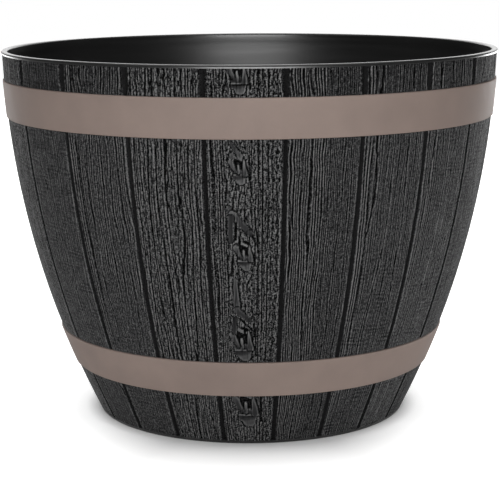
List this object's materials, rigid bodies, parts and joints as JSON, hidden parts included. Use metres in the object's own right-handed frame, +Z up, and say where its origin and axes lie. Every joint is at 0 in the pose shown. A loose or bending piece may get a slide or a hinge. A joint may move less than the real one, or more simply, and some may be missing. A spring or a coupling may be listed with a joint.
{
  "type": "barrel planter",
  "caption": "Round tapered plant pot in moulded resin, shaped like a charred stave barrel, with smooth hoops, a thin lip and pull-out plugs in the floor's drain holes.",
  "frame": {"origin": "on the ground, on the planter's axis", "axes": "+Z up along the planter's axis, the side seen in the picture faces -Y, +X to its right"},
  "size_m": [0.3939, 0.3939, 0.292],
  "materials": {
    "charcoal_resin": "moulded charred-wood grain outside, smooth and semi-gloss inside",
    "taupe_paint": "smooth matt",
    "black_rubber": "matt moulded rubber"
  },
  "bodies": {
    "planter": {"planter_shell": "charcoal_resin", "upper_band": "taupe_paint", "lower_band": "taupe_paint"},
    "plug_1": {"drain_plug_1": "black_rubber"},
    "plug_2": {"drain_plug_2": "black_rubber"},
    "plug_3": {"drain_plug_3": "black_rubber"},
    "plug_4": {"drain_plug_4": "black_rubber"},
    "plug_5": {"drain_plug_5": "black_rubber"}
  },
  "joints": [
    {"name": "plug_1_pull", "type": "slide", "parent": "planter", "child": "plug_1", "axis": [0, 0, 1], "range_m": [0, 0.03]},
    {"name": "plug_2_pull", "type": "slide", "parent": "planter", "child": "plug_2", "axis": [0, 0, 1], "range_m": [0, 0.03]},
    {"name": "plug_3_pull", "type": "slide", "parent": "planter", "child": "plug_3", "axis": [0, 0, 1], "range_m": [0, 0.03]},
    {"name": "plug_4_pull", "type": "slide", "parent": "planter", "child": "plug_4", "axis": [0, 0, 1], "range_m": [0, 0.03]},
    {"name": "plug_5_pull", "type": "slide", "parent": "planter", "child": "plug_5", "axis": [0, 0, 1], "range_m": [0, 0.03]}
  ]
}
